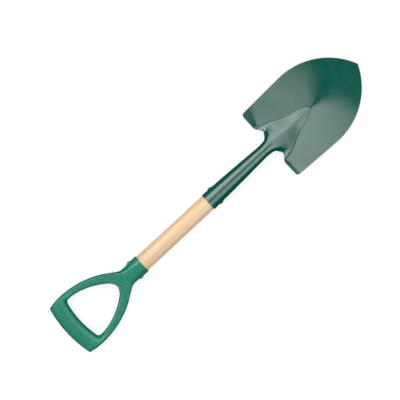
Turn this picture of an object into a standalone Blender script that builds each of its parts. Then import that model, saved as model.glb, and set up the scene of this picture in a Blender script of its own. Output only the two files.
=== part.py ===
"""Short garden shovel: a pressed round-point blade with a rolled socket, a turned wooden shaft and a
moulded D-shaped hand grip, held together by two rivets.

Every piece is drawn in the tool's own frame: Y runs along the shaft's axis from the outer edge of the
grip to the tip of the blade, X is across, and the blade's hollow face looks along +Z. One empty, on the
shaft's axis, then lays the tool on its back, resting on the grip's bar and on the back of the blade.
"""

import math

import bmesh
import bpy
import numpy as np

MM = 0.001
GAP = 0.3 * MM  # clearance between pieces that touch

# Whole tool, as distances along the shaft from the outer edge of the grip
TOOL_LENGTH = 711.5 * MM
COLLAR_MOUTH_Y = 183 * MM
SOCKET_MOUTH_Y = 345 * MM
JOIN_Y = 504 * MM  # where the rolled strip of the socket becomes part of the blade
TIP_Y = TOOL_LENGTH
GRIP_RIVET_Y = 166 * MM
SOCKET_RIVET_Y = 363 * MM

# How the tool lies: its axis climbs slightly from the grip's bar to the blade
AXIS_TILT = math.radians(0.52)
AXIS_HEIGHT = 16.35 * MM  # of the shaft's axis above the ground, at the grip's outer edge
AXIS_START = (0, -TOOL_LENGTH / 2, AXIS_HEIGHT)

# Sheet metal
SHEET = 1.5 * MM

# Blade outline
SHOULDER_Y = 495.3 * MM
SHOULDER_HALF_WIDTH = 74.2 * MM
BLADE_HALF_WIDTH = 77.6 * MM
WIDEST_Y = 594 * MM
CORNER_RADIUS = 5 * MM
OGIVE_LENGTH = TIP_Y - WIDEST_Y
OGIVE_RADIUS = (BLADE_HALF_WIDTH**2 + OGIVE_LENGTH**2) / (2 * BLADE_HALF_WIDTH)

# Blade dish, seen on its hollow face
VALLEY_LOW_Y = 590 * MM
VALLEY_LOW_Z = -20.2 * MM
TIP_RISE = 8 * MM
TIP_RISE_END_Y = 662 * MM
SHOULDER_RISE = 2 * MM
SIDE_SLOPE = 0.195
SIDE_FLATTENING = 0.28  # share of that slope lost towards the tip
FLATTENING_START_Y = 548 * MM
FLATTENING_END_Y = 634 * MM
EDGE_LIFT = -1.2 * MM
VALLEY_RADIUS = 2 * MM  # at the frog's tip
VALLEY_RADIUS_GROWTH = 412 * MM  # from there to the blade's tip
VALLEY_GROWTH_POWER = 1.8

# Frog: the raised V that runs down from the socket
FROG_TIP_Y = 593.4 * MM
FROG_HALF_WIDTHS = [  # (distance along the tool, half width)
    (495 * MM, 36.4 * MM),
    (505 * MM, 34.5 * MM),
    (525 * MM, 28.9 * MM),
    (540 * MM, 21.3 * MM),
    (555 * MM, 14.9 * MM),
    (570 * MM, 10.9 * MM),
    (585 * MM, 5.3 * MM),
    (FROG_TIP_Y, 0.4 * MM),
]
FROG_WALL = 4.2 * MM  # width of the steep edge round the frog
FROG_EDGE_HEIGHT = 3.6 * MM
FROG_TIP_HEIGHT = 1.6 * MM
FROG_END = 2 * MM  # length over which its tip runs out into the blade
CREST_START_Y = 482 * MM
CREST_START_SLOPE = -0.08
CREST_END_SLOPE = -0.15
RIDGE_SOFTNESS = 0.08
TUBE_RADIUS = 12.5 * MM  # of the socket's round crest, at the neck
TUBE_SPREAD = 25 * MM  # how much that radius grows on the frog
TUBE_FLANK = math.radians(60)  # steepest slope of its sides
TUBE_HEIGHT = 10 * MM  # above the frog's ridge, at the neck
TUBE_START_Y = 492 * MM  # between these two the round crest turns into the frog's ridge
TUBE_END_Y = 524 * MM
TUBE_FILLET = 4 * MM

# Rim rolled back beside the neck
ROLL_DROP = 3.5 * MM
ROLL_INNER_X = 13 * MM
ROLL_FULL_X = 22 * MM
ROLL_FADE_X = 25.5 * MM
ROLL_OUTER_X = 29.5 * MM
ROLL_START_Y = 498 * MM
ROLL_END_Y = 511 * MM

# Turned steps and the notches beside the neck
NOTCH_APEX_X = 26 * MM
NOTCH_OUTER_X = 37.5 * MM
NOTCH_OUTER_Y = 496.3 * MM
NOTCH_POWER = 1.5  # how roundly its outer edge leaves the apex
NOTCH_CORNER = 1 * MM  # width of the turn from the notch to the shoulder
STEP_INNER_X = 42 * MM
STEP_OUTER_X = 74 * MM
STEP_INNER_DEPTH = 8 * MM
STEP_OUTER_DEPTH = 30 * MM
STEP_DROP = 7.5 * MM
NOTCH_RIM = 3.5 * MM

# Rolled socket
SOCKET_MOUTH_RADIUS = 16.9 * MM
SOCKET_TAPER = 0.0275
SOCKET_BOW = 0.088 / (1000 * MM)
NECK_Y = 479 * MM
OPENING_Y = 463 * MM  # where the seam at the back starts to open
OPENING_POWER = 2.4
OPENING_ROUND = 0.1  # share of the opening's width that its round end takes
OPENING_ROUND_POWER = 12
SEAM_HALF_GAP = 0.75 * MM

# Wooden shaft
SHAFT_START_Y = 149 * MM
SHAFT_END_Y = 450 * MM
SHAFT_GRIP_RADIUS = 15.9 * MM
SHAFT_SOCKET_RADIUS = 15.5 * MM
TENON_RADIUS = 12.3 * MM
TENON_END_RADIUS = 11 * MM
SHAFT_EDGE = 0.8 * MM
SHAFT_TURN = 1.5 * MM  # length over which it narrows to enter the socket

# Grip
BAR_HALF_DEPTH = 17 * MM
BAR_ROUNDING = 16.5 * MM
BAR_SQUARENESS = 2.3  # 2 is a circle
BAR_FADE_Y = (30 * MM, 54 * MM)  # between these two the thick bar turns into the thinner arms
ARM_HALF_DEPTH = 9 * MM
ARM_ROUNDING = 4.5 * MM
COLLAR_GROWTH_Y = (112 * MM, 158 * MM)  # between these two the arms' depth grows to the collar's
SIDE_GROWTH_Y = (122 * MM, 156 * MM)  # and the rounding of the sides grows to a half circle
WEB_START_Y = 126 * MM  # from here the flat web climbs to the collar
WEB_SLOPE = 0.174
WEB_TOP = 17.1 * MM
WEB_BLEND = 0.6 * MM
BAR_OUTER_Y = 0.0
BAR_INNER_Y = 32.3 * MM
BAR_OUTER_BOW = 6.5 * MM  # how far the outer edge curves back at the bar's ends
BAR_INNER_BOW = 5.5 * MM
BAR_END_X = 53.5 * MM
BAR_CORNER = 2 * MM  # length of the outer edge that the bar's outer corner takes
COLLAR_RADIUS = 17.8 * MM
COLLAR_RIVET_RADIUS = 17.6 * MM  # of the collar where the rivet's heads sit on it
OPENING_TOP_Y = 123 * MM
OPENING_CORNER_X = 43.2 * MM
OPENING_CORNER_START_X = 38.4 * MM  # where the opening's straight side starts to turn
OPENING_CORNER_MIDDLE = (42.1 * MM, 39.2 * MM)
GRIP_SIDE = [  # outer edge, from the bar's end to the collar's mouth
    (53.6 * MM, 7.2 * MM),
    (56.2 * MM, 25 * MM),
    (56.6 * MM, 41 * MM),
    (54 * MM, 65 * MM),
    (46.1 * MM, 93.6 * MM),
    (36.3 * MM, 115 * MM),
    (24.3 * MM, 133.5 * MM),
    (17.5 * MM, 145 * MM),
    (16.7 * MM, 152 * MM),
    (COLLAR_RIVET_RADIUS, GRIP_RIVET_Y),
    (COLLAR_RADIUS, 175 * MM),
    (COLLAR_RADIUS, COLLAR_MOUTH_Y),
]
GRIP_ARCH = [  # inner edge, from the opening's lower corner to its top
    (OPENING_CORNER_X, 43.5 * MM),
    (42.6 * MM, 52 * MM),
    (40.1 * MM, 65 * MM),
    (35.5 * MM, 79 * MM),
    (28.7 * MM, 93.6 * MM),
    (19.5 * MM, 108 * MM),
    (10.5 * MM, 118.4 * MM),
    (0, OPENING_TOP_Y),
]

# Rivets
RIVET_SHANK_RADIUS = 2.5 * MM
SOCKET_RIVET_HEAD = (4.4 * MM, 1.7 * MM)  # radius and height of each domed head
GRIP_RIVET_HEAD = (4.1 * MM, 2.0 * MM)
HOLE_REACH = 30 * MM  # of the tool that cuts its hole, to each side of the axis
BORE_REACH = 10 * MM  # of the tool that cuts the collar's bore, past the mouth

# Ahead of the frog its columns of points fan out over the middle of the blade
MIDDLE_SHARE = 0.45  # of the blade's half width
MIDDLE_EDGE = 0.1
MIDDLE_REACHED = 0.7  # of the way from the frog's tip to the blade's

# Where the grip's lofted stretches meet: bar, corner, arm and web
BAR_SECTION_X = 47 * MM
BAR_SIDE_Y = 34.5 * MM
WEB_INNER_Y = 115.5 * MM
WEB_OUTER_Y = 120.5 * MM

# How finely the curved faces are divided
LINE_SAMPLES = 1200  # points tried along a smooth curve before they are evened out
FROG_LINE_POINTS = 200
ARCH_POINTS = 80
SIDE_POINTS = 120
MOUTH_POINTS = 40
SHAFT_STEPS = 48
SHAFT_TAPER_POINTS = 7
RIVET_STEPS = 24
RIVET_DOME_POINTS = 5
SOCKET_COLUMNS = 13
SOCKET_ROWS = 16
WING_COLUMNS = [0.1, 0.3, 0.55, 0.8, 0.93, 1.0]  # places between the frog's wall and the blade's side
BAND_ROWS = 4
FROG_ROWS = 13
BLADE_ROWS = 12
BLADE_ROW_POWER = 1.5  # rows lie closer together towards the tip
GRIP_COLUMNS = 10
GRIP_COUNTS = (9, 9, 16, 15)  # along the bar, the corner, the arm and the web
MERGE = 0.005 * MM  # points closer than this become one
GROUND_CUBE = 200 * MM


def smoothstep(value, start, end):
    """0 before start, 1 after end, with a soft S between them."""
    t = np.clip((value - start) / (end - start), 0, 1)
    return t * t * (3 - 2 * t)


def smooth_line(points, count):
    """The given number of points, evenly spread along a smooth curve through these ones."""
    knots = np.array(points, float)
    chord = np.concatenate([[0], np.cumsum(np.linalg.norm(np.diff(knots, axis=0), axis=1))])
    slopes = np.gradient(knots, chord, axis=0)
    at = np.linspace(0, chord[-1], LINE_SAMPLES)
    index = np.clip(np.searchsorted(chord, at, side="right") - 1, 0, len(chord) - 2)
    step = (chord[index + 1] - chord[index])[:, None]
    t = (at[:, None] - chord[index][:, None]) / step
    fine = (
        (2 * t**3 - 3 * t**2 + 1) * knots[index]
        + (t**3 - 2 * t**2 + t) * step * slopes[index]
        + (3 * t**2 - 2 * t**3) * knots[index + 1]
        + (t**3 - t**2) * step * slopes[index + 1]
    )
    length = np.concatenate([[0], np.cumsum(np.linalg.norm(np.diff(fine, axis=0), axis=1))])
    even = np.linspace(0, length[-1], count)
    return np.column_stack([np.interp(even, length, fine[:, axis]) for axis in (0, 1)])


# Scene helpers


def clear_scene():
    for obj in list(bpy.data.objects):
        bpy.data.objects.remove(obj, do_unlink=True)


def new_collection(name):
    collection = bpy.data.collections.new(name)
    bpy.context.scene.collection.children.link(collection)
    return collection


def new_material(name, colour, roughness, metallic):
    material = bpy.data.materials.new(name)
    material.use_nodes = True
    shader = material.node_tree.nodes["Principled BSDF"]
    shader.inputs["Base Color"].default_value = (*colour, 1)
    shader.inputs["Roughness"].default_value = roughness
    shader.inputs["Metallic"].default_value = metallic
    return material


def add_object(name, bm, collection, axis, material=None):
    mesh = bpy.data.meshes.new(name)
    bm.to_mesh(mesh)
    bm.free()
    mesh.shade_smooth()
    obj = bpy.data.objects.new(name, mesh)
    obj.parent = axis
    collection.objects.link(obj)
    if material:
        mesh.materials.append(material)
    return obj


def cutter(obj):
    obj.hide_render = True
    obj.display_type = "WIRE"
    return obj


def cut(obj, tool):
    modifier = obj.modifiers.new("cut_" + tool.name, "BOOLEAN")
    modifier.operation = "DIFFERENCE"
    modifier.solver = "EXACT"
    modifier.object = tool


def mirror(obj):
    modifier = obj.modifiers.new("mirror", "MIRROR")
    modifier.use_axis = (True, False, False)
    modifier.merge_threshold = 0.01 * MM


def add_turned(name, profile, steps, collection, axis, material=None):
    """A solid turned about the object's Z axis. The profile holds (radius, height), top to bottom."""
    bm = bmesh.new()
    points = [bm.verts.new((radius, 0, height)) for radius, height in profile]
    for first, second in zip(points, points[1:]):
        bm.edges.new((first, second))
    obj = add_object(name, bm, collection, axis, material)
    screw = obj.modifiers.new("turn", "SCREW")
    screw.steps = steps
    screw.render_steps = steps
    screw.use_merge_vertices = True
    screw.merge_threshold = 0.01 * MM
    screw.use_smooth_shade = True
    return obj


def lay_along_shaft(obj):
    obj.rotation_euler = (-math.pi / 2, 0, 0)


def lay_across(obj, distance):
    obj.rotation_euler = (0, math.pi / 2, 0)
    obj.location = (0, distance, 0)


# Blade head


def blade_half_width(y):
    """Sides that widen slightly, then a round ogive to the tip, with rounded rear corners."""
    side = np.interp(y, [SHOULDER_Y, WIDEST_Y], [SHOULDER_HALF_WIDTH, BLADE_HALF_WIDTH])
    ahead = np.clip(y - WIDEST_Y, 0, OGIVE_LENGTH)
    ogive = BLADE_HALF_WIDTH - OGIVE_RADIUS + np.sqrt(OGIVE_RADIUS**2 - ahead**2)
    inset = np.clip(SHOULDER_Y + CORNER_RADIUS - y, 0, CORNER_RADIUS)
    corner = CORNER_RADIUS - np.sqrt(CORNER_RADIUS**2 - inset**2)
    return np.where(y > WIDEST_Y, ogive, side) - corner


def frog_half_width(y):
    line = smooth_line([(along, half) for along, half in FROG_HALF_WIDTHS], FROG_LINE_POINTS)
    return np.interp(y, line[:, 0], line[:, 1])


def valley_height(y):
    """Height of the blade's centre line, a shallow bow that rises towards the tip and the shoulder."""
    ahead = TIP_RISE * smoothstep(y, VALLEY_LOW_Y, TIP_RISE_END_Y)
    behind = np.maximum(VALLEY_LOW_Y - y, 0) / (VALLEY_LOW_Y - SHOULDER_Y)
    return VALLEY_LOW_Z + ahead + SHOULDER_RISE * behind**2


def dish_height(x, y):
    """The blade without its frog: a V whose rounded bottom widens towards the tip."""
    opened = np.clip((y - FROG_TIP_Y) / (TIP_Y - FROG_TIP_Y), 0, 1)
    radius = VALLEY_RADIUS + VALLEY_RADIUS_GROWTH * opened**VALLEY_GROWTH_POWER
    flattened = 1 - SIDE_FLATTENING * smoothstep(y, FLATTENING_START_Y, FLATTENING_END_Y)
    side = SIDE_SLOPE * flattened * (np.hypot(x, radius) - radius)
    return valley_height(y) + side + EDGE_LIFT * (x / BLADE_HALF_WIDTH) ** 2


def crest_height(y):
    """Top line of the frog, from the neck down to the blade at the frog's tip."""
    run = FROG_TIP_Y - CREST_START_Y
    t = np.clip((y - CREST_START_Y) / run, 0, 1)
    start = socket_radius(CREST_START_Y)
    end = dish_height(0, FROG_TIP_Y) + FROG_TIP_HEIGHT
    return (
        (2 * t**3 - 3 * t**2 + 1) * start
        + (t**3 - 2 * t**2 + t) * run * CREST_START_SLOPE
        + (3 * t**2 - 2 * t**3) * end
        + (t**3 - t**2) * run * CREST_END_SLOPE
    )


def soft_max(first, second, blend):
    """The higher of two surfaces, with a fillet where they meet."""
    share = np.clip(0.5 + (second - first) / (2 * blend), 0, 1)
    return first + (second - first) * share + blend * share * (1 - share)


def tube_height(x, y, crest):
    """A round crest, wider towards the frog, whose sides go on at their steepest slope."""
    radius = TUBE_RADIUS + TUBE_SPREAD * smoothstep(y, CREST_START_Y, TUBE_END_Y)
    round_x = radius * math.sin(TUBE_FLANK)
    near = np.minimum(x, round_x)
    drop = radius - np.sqrt(radius**2 - near**2)
    return crest - drop - (x - near) * math.tan(TUBE_FLANK)


def wall_share(t):
    """An S of two equal arcs, from 0 to 1."""
    t = np.clip(t, 0, 1)
    return np.where(t < 0.5, 2 * t**2, 1 - 2 * (1 - t) ** 2)


def front_height(x, y):
    """Height of the blade's hollow face, frog included."""
    dish = dish_height(x, y)
    half = frog_half_width(y)
    along = np.clip((y - JOIN_Y) / (FROG_TIP_Y - JOIN_Y), 0, 1)
    edge_height = FROG_EDGE_HEIGHT + (FROG_TIP_HEIGHT - FROG_EDGE_HEIGHT) * along
    edge = dish_height(half, y) + edge_height
    across = np.clip(x / half, 0, 1)
    fall = np.hypot(across, RIDGE_SOFTNESS) - RIDGE_SOFTNESS
    tent = 1 - fall / (math.hypot(1, RIDGE_SOFTNESS) - RIDGE_SOFTNESS)
    crest = crest_height(y)
    low_ridge = edge + (crest - TUBE_HEIGHT - edge) * tent
    neck = soft_max(low_ridge, tube_height(x, y, crest), TUBE_FILLET)
    neck = np.minimum(neck, np.maximum(crest, edge))
    frog = neck + (edge + (crest - edge) * tent - neck) * smoothstep(y, TUBE_START_Y, TUBE_END_Y)
    rolled = smoothstep(x, ROLL_INNER_X, ROLL_FULL_X) * (1 - smoothstep(x, ROLL_FADE_X, ROLL_OUTER_X))
    frog = frog - ROLL_DROP * rolled * (1 - smoothstep(y, ROLL_START_Y, ROLL_END_Y))
    frog = frog + (dish - edge) * wall_share((x - half) / FROG_WALL)
    raised = np.where(x < half + FROG_WALL, np.maximum(frog - dish, 0), 0)
    return dish + raised * (1 - smoothstep(y, FROG_TIP_Y - FROG_END, FROG_TIP_Y))


def socket_radius(y):
    """Outer radius of the rolled socket, slightly bowed from its mouth to the neck."""
    run = np.minimum(y, NECK_Y) - SOCKET_MOUTH_Y
    return SOCKET_MOUTH_RADIUS - SOCKET_TAPER * run - SOCKET_BOW * run**2


def socket_section(share, y):
    """One half of the rolled strip at y: share runs from the crest (0) to the seam's edge (1)."""
    radius = socket_radius(y)
    roll = (math.pi - SEAM_HALF_GAP / radius) * share
    opening = np.clip((y - OPENING_Y) / (JOIN_Y - OPENING_Y), 0, 1)
    round_end = 1 - np.sqrt(1 - opening**OPENING_ROUND_POWER)
    spread = (1 - OPENING_ROUND) * opening**OPENING_POWER + OPENING_ROUND * round_end
    settled = smoothstep(opening, 0, 1) ** 2
    flat_x = NOTCH_APEX_X * share
    crest = np.where(y < CREST_START_Y, radius, crest_height(y))
    rolled_z = crest - radius * (1 - np.cos(roll))
    x = radius * np.sin(roll) * (1 - spread) + flat_x * spread
    z = rolled_z + (front_height(flat_x, y) - rolled_z) * settled
    return x, z


def grid(bm, rows):
    """Faces between rows of points, each row a list of (x, y, z)."""
    verts = [[bm.verts.new(point) for point in row] for row in rows]
    for row, following in zip(verts, verts[1:]):
        for a, b, c, d in zip(row, row[1:], following[1:], following):
            bm.faces.new((a, b, c, d))


def socket_rows(shares):
    before = np.linspace(SOCKET_MOUTH_Y, OPENING_Y, SOCKET_ROWS // 2)
    after = np.linspace(OPENING_Y, JOIN_Y, SOCKET_ROWS)[1:]
    for y in np.concatenate([before, after]):
        x, z = socket_section(shares, y)
        yield list(zip(x, np.full(len(shares), y), z))


def rear_edge(across):
    """Distance along the tool of the blade's rear edge, for a place across the shoulder."""
    beyond_apex = np.clip((across - NOTCH_APEX_X) / (NOTCH_OUTER_X - NOTCH_APEX_X), 0, 1)
    beyond_notch = np.clip((across - NOTCH_OUTER_X) / NOTCH_CORNER, 0, 1)
    notch = JOIN_Y - (JOIN_Y - NOTCH_OUTER_Y) * beyond_apex**NOTCH_POWER
    return notch - (NOTCH_OUTER_Y - SHOULDER_Y) * beyond_notch


def blade_rows(shares):
    """Rows of points from the rear edge to the tip, with columns that follow the frog's edge."""
    crease = float(frog_half_width(JOIN_Y))
    apex = NOTCH_APEX_X / crease
    inner = [share * apex for share in shares] + [(1 + apex) / 2, 1.0]
    spread = np.array([0.0] + WING_COLUMNS)
    wing = crease + FROG_WALL + spread * (SHOULDER_HALF_WIDTH - crease - FROG_WALL)
    nominal = np.concatenate([np.array(inner) * crease, wing])
    rear = rear_edge(nominal)
    drop = STEP_DROP * smoothstep(nominal, NOTCH_OUTER_X - NOTCH_CORNER, STEP_INNER_X)
    band = NOTCH_RIM + (STEP_INNER_DEPTH - NOTCH_RIM) * smoothstep(nominal, NOTCH_APEX_X, STEP_INNER_X)
    outward = np.clip((nominal - STEP_INNER_X) / (STEP_OUTER_X - STEP_INNER_X), 0, 1)
    band = band + (STEP_OUTER_DEPTH - STEP_INNER_DEPTH) * outward

    def row(y, fall):
        width = blade_half_width(y)
        ahead = np.clip((y - FROG_TIP_Y) / (TIP_Y - FROG_TIP_Y), 0, 1)
        middle = MIDDLE_SHARE * width
        frog = frog_half_width(y) + middle * smoothstep(ahead, 0, MIDDLE_REACHED)
        frog = np.where(ahead > 0, np.minimum(frog, middle), frog)
        wall = np.minimum(FROG_WALL * (1 + 2 * ahead), MIDDLE_EDGE * width)
        x = np.array(inner + [1.0] * len(spread)) * frog
        x[len(inner) :] += wall[len(inner) :]
        x[len(inner) :] += spread * (width - frog - wall)[len(inner) :]
        return list(zip(x, y, front_height(x, y) - fall))

    for turn in np.linspace(math.pi / 2, 0, BAND_ROWS, endpoint=False):
        yield row(rear + band * (1 - math.sin(turn)), drop * (1 - math.cos(turn)))
    for share in np.linspace(0, 1, FROG_ROWS, endpoint=False):
        yield row(rear + band + (FROG_TIP_Y - rear - band) * share, 0 * nominal)
    for left in np.linspace(1, 0, BLADE_ROWS):
        y = TIP_Y - (TIP_Y - FROG_TIP_Y) * left**BLADE_ROW_POWER
        yield row(np.full(len(nominal), y), 0 * nominal)


def add_blade_head(collection, axis, material):
    """One pressed and rolled sheet: half of its front face, mirrored and thickened backwards."""
    shares = np.linspace(0, 1, SOCKET_COLUMNS)
    bm = bmesh.new()
    grid(bm, socket_rows(shares))
    grid(bm, blade_rows(shares))
    bmesh.ops.remove_doubles(bm, verts=bm.verts, dist=MERGE)
    bmesh.ops.dissolve_degenerate(bm, edges=bm.edges, dist=MERGE)
    obj = add_object("blade_head", bm, collection, axis, material)
    mirror(obj)
    thicken = obj.modifiers.new("sheet", "SOLIDIFY")
    thicken.thickness = SHEET
    thicken.offset = -1
    thicken.use_even_offset = True
    return obj


# Wooden shaft


def add_shaft(collection, axis, material):
    """Turned: a tenon for the grip, the bare length, then a taper that follows the socket's inside."""
    inside = [
        (float(socket_radius(y)) - SHEET - GAP, y)
        for y in np.linspace(SHAFT_END_Y - SHAFT_EDGE, SOCKET_MOUTH_Y, SHAFT_TAPER_POINTS)
    ]
    bare = [
        (SHAFT_SOCKET_RADIUS, SOCKET_MOUTH_Y - SHAFT_TURN),
        (SHAFT_GRIP_RADIUS, COLLAR_MOUTH_Y + GAP + SHAFT_EDGE),
        (SHAFT_GRIP_RADIUS - SHAFT_EDGE / 2, COLLAR_MOUTH_Y + GAP),
    ]
    tenon = [
        (TENON_RADIUS, COLLAR_MOUTH_Y + GAP),
        (TENON_END_RADIUS, SHAFT_START_Y + SHAFT_EDGE),
        (TENON_END_RADIUS - SHAFT_EDGE, SHAFT_START_Y),
        (0, SHAFT_START_Y),
    ]
    end = [(0, SHAFT_END_Y), (inside[0][0] - SHAFT_EDGE, SHAFT_END_Y)]
    obj = add_turned("shaft", end + inside + bare + tenon, SHAFT_STEPS, collection, axis, material)
    lay_along_shaft(obj)
    return obj


# Grip


def bar_outer_edge(x):
    return BAR_OUTER_Y + BAR_OUTER_BOW * (x / BAR_END_X) ** 2


def bar_inner_edge(x):
    return BAR_INNER_Y + BAR_INNER_BOW * (x / OPENING_CORNER_X) ** 2


def distance_to(points, line):
    """Distance from each point to a line of many points."""
    start, end = line[:-1], line[1:]
    span = end - start
    offset = points[:, None, :] - start[None]
    t = np.clip((offset * span).sum(-1) / (span**2).sum(-1), 0, 1)
    return np.linalg.norm(offset - t[..., None] * span, axis=-1).min(1)


def rim(distance, rounding, power=2):
    """Share of the full depth at this distance from a rounded edge."""
    inset = 1 - np.clip(distance / rounding, 0, 1)
    return (1 - inset**power) ** (1 / power)


def grip_half_depth(points, side, opening):
    """Half of the grip's depth: a round bar, flat arms with rounded edges, and a round collar."""
    x, y = points[:, 0], points[:, 1]
    beyond_bar = smoothstep(y, *BAR_FADE_Y)
    collar = smoothstep(y, *COLLAR_GROWTH_Y)
    radius = np.interp(y, side[:, 1], side[:, 0])
    flat = BAR_HALF_DEPTH + (ARM_HALF_DEPTH - BAR_HALF_DEPTH) * beyond_bar
    flat = np.minimum(flat + WEB_SLOPE * np.maximum(y - WEB_START_Y, 0), np.maximum(flat, WEB_TOP))
    depth = flat + (radius - flat) * collar
    inner_rounding = BAR_ROUNDING + (ARM_ROUNDING - BAR_ROUNDING) * beyond_bar
    side_rounding = ARM_ROUNDING + (radius - ARM_ROUNDING) * smoothstep(y, *SIDE_GROWTH_Y)
    share = rim(distance_to(points, opening), inner_rounding, BAR_SQUARENESS)
    share = share * rim(distance_to(points, side), side_rounding)
    share = share * rim(y - bar_outer_edge(x), BAR_ROUNDING, BAR_SQUARENESS)
    return -soft_max(-depth * share, -flat, WEB_BLEND)


def grip_sections():
    """Pairs of lines, one along the opening and one along the outside, each pair with equal counts."""
    corner_start = (OPENING_CORNER_START_X, float(bar_inner_edge(OPENING_CORNER_START_X)))
    corner = [corner_start, OPENING_CORNER_MIDDLE, GRIP_ARCH[0]]
    bar_x = np.linspace(0, OPENING_CORNER_START_X, GRIP_COUNTS[0])
    outer_x = np.linspace(0, BAR_SECTION_X, GRIP_COUNTS[0])
    other_half = [(-x, y) for x, y in reversed(GRIP_ARCH[:-1])]
    arch = smooth_line(GRIP_ARCH + other_half, 2 * ARCH_POINTS - 1)[:ARCH_POINTS]
    side = smooth_line(GRIP_SIDE, SIDE_POINTS)
    arm_end = int(np.searchsorted(arch[:, 1], WEB_INNER_Y))
    side_bar = int(np.searchsorted(side[:, 1], BAR_SIDE_Y))
    side_arm = int(np.searchsorted(side[:, 1], WEB_OUTER_Y))
    end_x = np.linspace(BAR_SECTION_X, BAR_END_X - BAR_CORNER, 3)
    end = np.column_stack([end_x, bar_outer_edge(end_x)])
    mouth_x = np.linspace(COLLAR_RADIUS, 0, MOUTH_POINTS)
    mouth = np.column_stack([mouth_x, np.full(MOUTH_POINTS, COLLAR_MOUTH_Y)])
    mouth_count = GRIP_COUNTS[3] // 2
    inner = [
        np.column_stack([bar_x, bar_inner_edge(bar_x)]),
        smooth_line(corner, GRIP_COUNTS[1]),
        smooth_line(arch[: arm_end + 1], GRIP_COUNTS[2]),
        smooth_line(arch[arm_end:], GRIP_COUNTS[3]),
    ]
    collar = smooth_line(side[side_arm:], GRIP_COUNTS[3] - mouth_count)
    outer = [
        np.column_stack([outer_x, bar_outer_edge(outer_x)]),
        smooth_line(np.vstack([end, side[1 : side_bar + 1]]), GRIP_COUNTS[1]),
        smooth_line(side[side_bar : side_arm + 1], GRIP_COUNTS[2]),
        np.vstack([collar, smooth_line(mouth, mouth_count + 1)[1:]]),
    ]
    return inner, outer, side, arch


def add_grip(collection, axis, material):
    """Half of the moulding, lofted round the opening from the bar to the collar, then mirrored."""
    inner, outer, side, arch = grip_sections()
    inside = np.vstack([inner[0]] + [line[1:] for line in inner[1:]])
    outside = np.vstack([outer[0]] + [line[1:] for line in outer[1:]])
    opening = np.vstack([inner[0], inner[1][1:], arch[1:]])
    opening = np.vstack([opening * (-1, 1), opening])
    spread = (1 - np.cos(np.linspace(0, math.pi, GRIP_COLUMNS + 1))) / 2
    top, bottom = [], []
    for start, end in zip(inside, outside):
        points = start + spread[:, None] * (end - start)
        depth = grip_half_depth(points, side, opening)
        depth[0] = 0
        top.append([(x, y, z) for (x, y), z in zip(points, depth)])
        bottom.append([(x, y, -z) for (x, y), z in zip(points, depth)])
    bm = bmesh.new()
    grid(bm, top)
    grid(bm, bottom)
    grid(bm, [[row[-1] for row in top], [row[-1] for row in bottom]])
    bmesh.ops.remove_doubles(bm, verts=bm.verts, dist=MERGE)
    bmesh.ops.dissolve_degenerate(bm, edges=bm.edges, dist=MERGE)
    bmesh.ops.recalc_face_normals(bm, faces=bm.faces)
    obj = add_object("d_grip", bm, collection, axis, material)
    mirror(obj)
    return obj


def add_ground_cutter(collection):
    """Everything below the ground, which planes a flat land on the underside of the grip's bar."""
    bm = bmesh.new()
    bmesh.ops.create_cube(bm, size=GROUND_CUBE)
    obj = add_object("ground_cutter", bm, collection, None)
    obj.location = (0, AXIS_START[1], -GROUND_CUBE / 2)
    return cutter(obj)


# Rivets


def rivet_profile(seat, head):
    """A shank with a domed head at each end, the heads' flat sides at the seat distance."""
    radius, height = head
    dome = [
        (radius * math.sin(angle), seat + height * math.cos(angle))
        for angle in np.linspace(0, math.pi / 2, RIVET_DOME_POINTS)
    ]
    upper = dome + [(RIVET_SHANK_RADIUS, seat)]
    return upper + [(across, -along) for across, along in reversed(upper)]


def add_rivet(name, distance, seat, head, collection, axis, material):
    obj = add_turned(name, rivet_profile(seat, head), RIVET_STEPS, collection, axis, material)
    lay_across(obj, distance)


def add_rivet_cutter(name, distance, collection, axis):
    radius = RIVET_SHANK_RADIUS + GAP
    profile = [(0, HOLE_REACH), (radius, HOLE_REACH), (radius, -HOLE_REACH), (0, -HOLE_REACH)]
    obj = add_turned(name, profile, RIVET_STEPS, collection, axis)
    lay_across(obj, distance)
    return cutter(obj)


def add_bore_cutter(collection, axis):
    """The collar's bore, as wide as the tenon and its clearance."""
    profile = [
        (0, COLLAR_MOUTH_Y + BORE_REACH),
        (TENON_RADIUS + GAP, COLLAR_MOUTH_Y + BORE_REACH),
        (TENON_RADIUS + GAP, COLLAR_MOUTH_Y + GAP),
        (TENON_END_RADIUS + GAP, SHAFT_START_Y - GAP),
        (0, SHAFT_START_Y - GAP),
    ]
    obj = add_turned("bore_cutter", profile, SHAFT_STEPS, collection, axis)
    lay_along_shaft(obj)
    return cutter(obj)


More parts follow.
